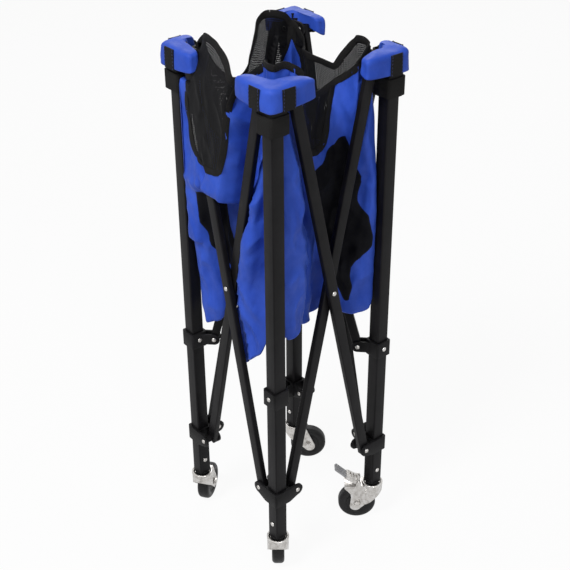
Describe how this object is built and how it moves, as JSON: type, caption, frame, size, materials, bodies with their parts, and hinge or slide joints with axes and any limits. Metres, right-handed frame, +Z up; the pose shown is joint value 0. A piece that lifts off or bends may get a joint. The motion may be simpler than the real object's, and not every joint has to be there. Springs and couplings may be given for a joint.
{
  "type": "ball cart",
  "caption": "Folding ball cart: square tube legs on swivel casters, crossed bars, sliding brackets and a gathered cloth bag with net tops, shown folded for storage.",
  "frame": {"origin": "on the floor, under the middle of the folded cart", "axes": "+Z up; +X and -Y point out of the two sides that meet at the front leg"},
  "size_m": [0.3153, 0.326, 1.0448],
  "materials": {
    "black_tube": "satin black powder coat",
    "black_bracket": "moulded nylon",
    "zinc": "bright zinc plate",
    "wheel_rubber": "smooth black rubber",
    "blue_nylon": "woven nylon with a soft sheen",
    "black_net": "open polyester net",
    "black_webbing": "ribbed webbing",
    "grey_plastic": "moulded grey plastic"
  },
  "bodies": {
    "front_leg_frame": {"front_leg_tube": "black_tube", "front_top_bracket": "black_bracket", "front_mid_bracket": "black_bracket", "front_caster_plug": "black_bracket", "front_corner_cap": "blue_nylon", "front_leg_strap": "black_webbing", "front_right_bag_side": "blue_nylon"},
    "front_slider": {"front_slider_bracket": "black_bracket"},
    "front_to_right_bar": {"front_to_right_bar": "black_tube"},
    "right_to_front_bar": {"right_to_front_bar": "black_tube"},
    "front_hub_bar": {"front_hub_bar": "black_tube"},
    "front_caster": {"front_caster_fork": "zinc", "front_caster_axle": "zinc"},
    "front_wheel": {"front_caster_wheel": "wheel_rubber"},
    "right_leg_frame": {"right_leg_tube": "black_tube", "right_top_bracket": "black_bracket", "right_mid_bracket": "black_bracket", "right_caster_plug": "black_bracket", "right_corner_cap": "blue_nylon", "right_leg_strap": "black_webbing", "right_back_bag_side": "blue_nylon"},
    "right_slider": {"right_slider_bracket": "black_bracket"},
    "right_to_back_bar": {"right_to_back_bar": "black_tube"},
    "back_to_right_bar": {"back_to_right_bar": "black_tube"},
    "right_hub_bar": {"right_hub_bar": "black_tube"},
    "right_caster": {"right_caster_fork": "zinc", "right_caster_axle": "zinc"},
    "right_wheel": {"right_caster_wheel": "wheel_rubber"},
    "back_leg_frame": {"back_leg_tube": "black_tube", "back_top_bracket": "black_bracket", "back_mid_bracket": "black_bracket", "back_caster_plug": "black_bracket", "back_corner_cap": "blue_nylon", "back_leg_strap": "black_webbing", "back_left_bag_side": "blue_nylon"},
    "back_slider": {"back_slider_bracket": "black_bracket"},
    "back_to_left_bar": {"back_to_left_bar": "black_tube"},
    "left_to_back_bar": {"left_to_back_bar": "black_tube"},
    "back_hub_bar": {"back_hub_bar": "black_tube"},
    "back_caster": {"back_caster_fork": "zinc", "back_caster_axle": "zinc"},
    "back_wheel": {"back_caster_wheel": "wheel_rubber"},
    "left_leg_frame": {"left_leg_tube": "black_tube", "left_top_bracket": "black_bracket", "left_mid_bracket": "black_bracket", "left_caster_plug": "black_bracket", "left_corner_cap": "blue_nylon", "left_leg_strap": "black_webbing", "left_front_bag_side": "blue_nylon"},
    "left_slider": {"left_slider_bracket": "black_bracket"},
    "left_to_front_bar": {"left_to_front_bar": "black_tube"},
    "front_to_left_bar": {"front_to_left_bar": "black_tube"},
    "left_hub_bar": {"left_hub_bar": "black_tube"},
    "left_caster": {"left_caster_fork": "zinc", "left_caster_axle": "zinc"},
    "left_wheel": {"left_caster_wheel": "wheel_rubber"},
    "hub": {"hub": "black_bracket", "bag_floor": "blue_nylon"},
    "brake_pedal": {"brake_pedal": "zinc"}
  },
  "joints": [
    {"name": "fold", "type": "hinge", "parent": "front_leg_frame", "child": "front_to_right_bar", "pos_m": [0.1365, -0.1069, 0.97679], "axis": [1, 0, 0], "range_deg": [0, 25.4], "deforming": ["front_right_bag_side"]},
    {"name": "right_to_front_bar_pivot", "type": "hinge", "parent": "front_to_right_bar", "child": "right_to_front_bar", "pos_m": [0.1365, -0.0196, 0.58489], "axis": [1, 0, 0], "range_deg": [-50.8, 0]},
    {"name": "right_leg_pivot", "type": "hinge", "parent": "right_to_front_bar", "child": "right_leg_frame", "pos_m": [0.1365, 0.0677, 0.97679], "axis": [1, 0, 0], "range_deg": [0, 25.4]},
    {"name": "front_slider_pivot", "type": "hinge", "parent": "right_to_front_bar", "child": "front_slider", "pos_m": [0.1365, -0.1069, 0.193], "axis": [1, 0, 0], "range_deg": [0, 25.4]},
    {"name": "right_slider_pivot", "type": "hinge", "parent": "front_to_right_bar", "child": "right_slider", "pos_m": [0.1365, 0.0677, 0.193], "axis": [1, 0, 0], "range_deg": [-25.4, 0]},
    {"name": "front_to_left_bar_pivot", "type": "hinge", "parent": "front_leg_frame", "child": "front_to_left_bar", "pos_m": [0.1013, -0.1421, 0.97679], "axis": [0, 1, 0], "range_deg": [0, 25.4]},
    {"name": "left_to_front_bar_pivot", "type": "hinge", "parent": "front_to_left_bar", "child": "left_to_front_bar", "pos_m": [0.014, -0.1421, 0.58489], "axis": [0, 1, 0], "range_deg": [-50.8, 0], "deforming": ["left_front_bag_side"]},
    {"name": "left_leg_pivot", "type": "hinge", "parent": "left_to_front_bar", "child": "left_leg_frame", "pos_m": [-0.0733, -0.1421, 0.97679], "axis": [0, 1, 0], "range_deg": [0, 25.4]},
    {"name": "left_slider_pivot", "type": "hinge", "parent": "front_to_left_bar", "child": "left_slider", "pos_m": [-0.0733, -0.1421, 0.193], "axis": [0, 1, 0], "range_deg": [-25.4, 0]},
    {"name": "right_to_back_bar_pivot", "type": "hinge", "parent": "right_leg_frame", "child": "right_to_back_bar", "pos_m": [0.1013, 0.1029, 0.97679], "axis": [0, 1, 0], "range_deg": [0, 25.4]},
    {"name": "back_to_right_bar_pivot", "type": "hinge", "parent": "right_to_back_bar", "child": "back_to_right_bar", "pos_m": [0.014, 0.1029, 0.58489], "axis": [0, 1, 0], "range_deg": [-50.8, 0], "deforming": ["right_back_bag_side"]},
    {"name": "back_leg_pivot", "type": "hinge", "parent": "back_to_right_bar", "child": "back_leg_frame", "pos_m": [-0.0733, 0.1029, 0.97679], "axis": [0, 1, 0], "range_deg": [0, 25.4]},
    {"name": "back_slider_pivot", "type": "hinge", "parent": "right_to_back_bar", "child": "back_slider", "pos_m": [-0.0733, 0.1029, 0.193], "axis": [0, 1, 0], "range_deg": [-25.4, 0]},
    {"name": "left_to_back_bar_pivot", "type": "hinge", "parent": "left_leg_frame", "child": "left_to_back_bar", "pos_m": [-0.1085, -0.1069, 0.97679], "axis": [1, 0, 0], "range_deg": [0, 25.4]},
    {"name": "back_to_left_bar_pivot", "type": "hinge", "parent": "left_to_back_bar", "child": "back_to_left_bar", "pos_m": [-0.1085, -0.0196, 0.58489], "axis": [1, 0, 0], "range_deg": [-50.8, 0], "deforming": ["back_left_bag_side"]},
    {"name": "front_hub_bar_pivot", "type": "hinge", "parent": "front_leg_frame", "child": "front_hub_bar", "pos_m": [0.10963, -0.11523, 0.417], "axis": [-0.7071, -0.7071, 0], "range_deg": [0, 34.73]},
    {"name": "right_hub_bar_pivot", "type": "hinge", "parent": "right_leg_frame", "child": "right_hub_bar", "pos_m": [0.10963, 0.07603, 0.417], "axis": [0.7071, -0.7071, 0], "range_deg": [0, 34.73]},
    {"name": "back_hub_bar_pivot", "type": "hinge", "parent": "back_leg_frame", "child": "back_hub_bar", "pos_m": [-0.08163, 0.07603, 0.417], "axis": [0.7071, 0.7071, 0], "range_deg": [0, 34.73]},
    {"name": "left_hub_bar_pivot", "type": "hinge", "parent": "left_leg_frame", "child": "left_hub_bar", "pos_m": [-0.08163, -0.11523, 0.417], "axis": [-0.7071, 0.7071, 0], "range_deg": [0, 34.73]},
    {"name": "hub_pivot", "type": "hinge", "parent": "front_hub_bar", "child": "hub", "pos_m": [0.03097, -0.03657, 0.84271], "axis": [-0.7071, -0.7071, 0], "range_deg": [-34.73, 0], "deforming": ["bag_floor"]},
    {"name": "front_caster_swivel", "type": "hinge", "parent": "front_leg_frame", "child": "front_caster", "pos_m": [0.1365, -0.1421, 0.084], "axis": [0, 0, 1], "continuous": true},
    {"name": "front_wheel_spin", "type": "hinge", "parent": "front_caster", "child": "front_wheel", "pos_m": [0.11328, -0.1231, 0.0375], "axis": [-0.6334, -0.7738, 0], "continuous": true},
    {"name": "right_caster_swivel", "type": "hinge", "parent": "right_leg_frame", "child": "right_caster", "pos_m": [0.1365, 0.1029, 0.084], "axis": [0, 0, 1], "continuous": true},
    {"name": "right_wheel_spin", "type": "hinge", "parent": "right_caster", "child": "right_wheel", "pos_m": [0.11754, 0.07965, 0.0375], "axis": [0.7749, -0.632, 0], "continuous": true},
    {"name": "brake_pedal_hinge", "type": "hinge", "parent": "right_caster", "child": "brake_pedal", "pos_m": [0.1188, 0.0812, 0.0903], "axis": [0.7749, -0.632, 0], "range_deg": [0, 14]},
    {"name": "back_caster_swivel", "type": "hinge", "parent": "back_leg_frame", "child": "back_caster", "pos_m": [-0.1085, 0.1029, 0.084], "axis": [0, 0, 1], "continuous": true},
    {"name": "back_wheel_spin", "type": "hinge", "parent": "back_caster", "child": "back_wheel", "pos_m": [-0.08954, 0.12615, 0.0375], "axis": [-0.7749, 0.632, 0], "continuous": true},
    {"name": "left_caster_swivel", "type": "hinge", "parent": "left_leg_frame", "child": "left_caster", "pos_m": [-0.1085, -0.1421, 0.084], "axis": [0, 0, 1], "continuous": true},
    {"name": "left_wheel_spin", "type": "hinge", "parent": "left_caster", "child": "left_wheel", "pos_m": [-0.12601, -0.11774, 0.0375], "axis": [-0.8121, -0.5835, 0], "continuous": true}
  ],
  "couplings": [
    {"joint": "right_to_front_bar_pivot", "follows": "fold", "ratio": -2},
    {"joint": "right_leg_pivot", "follows": "fold", "ratio": 1},
    {"joint": "front_slider_pivot", "follows": "fold", "ratio": 1},
    {"joint": "right_slider_pivot", "follows": "fold", "ratio": -1},
    {"joint": "front_to_left_bar_pivot", "follows": "fold", "ratio": 1},
    {"joint": "left_to_front_bar_pivot", "follows": "fold", "ratio": -2},
    {"joint": "left_leg_pivot", "follows": "fold", "ratio": 1},
    {"joint": "left_slider_pivot", "follows": "fold", "ratio": -1},
    {"joint": "right_to_back_bar_pivot", "follows": "fold", "ratio": 1},
    {"joint": "back_to_right_bar_pivot", "follows": "fold", "ratio": -2},
    {"joint": "back_leg_pivot", "follows": "fold", "ratio": 1},
    {"joint": "back_slider_pivot", "follows": "fold", "ratio": -1},
    {"joint": "left_to_back_bar_pivot", "follows": "fold", "ratio": 1},
    {"joint": "back_to_left_bar_pivot", "follows": "fold", "ratio": -2},
    {"joint": "front_hub_bar_pivot", "follows": "fold", "ratio": 1.3675},
    {"joint": "right_hub_bar_pivot", "follows": "fold", "ratio": 1.3675},
    {"joint": "back_hub_bar_pivot", "follows": "fold", "ratio": 1.3675},
    {"joint": "left_hub_bar_pivot", "follows": "fold", "ratio": 1.3675},
    {"joint": "hub_pivot", "follows": "fold", "ratio": -1.3675}
  ]
}
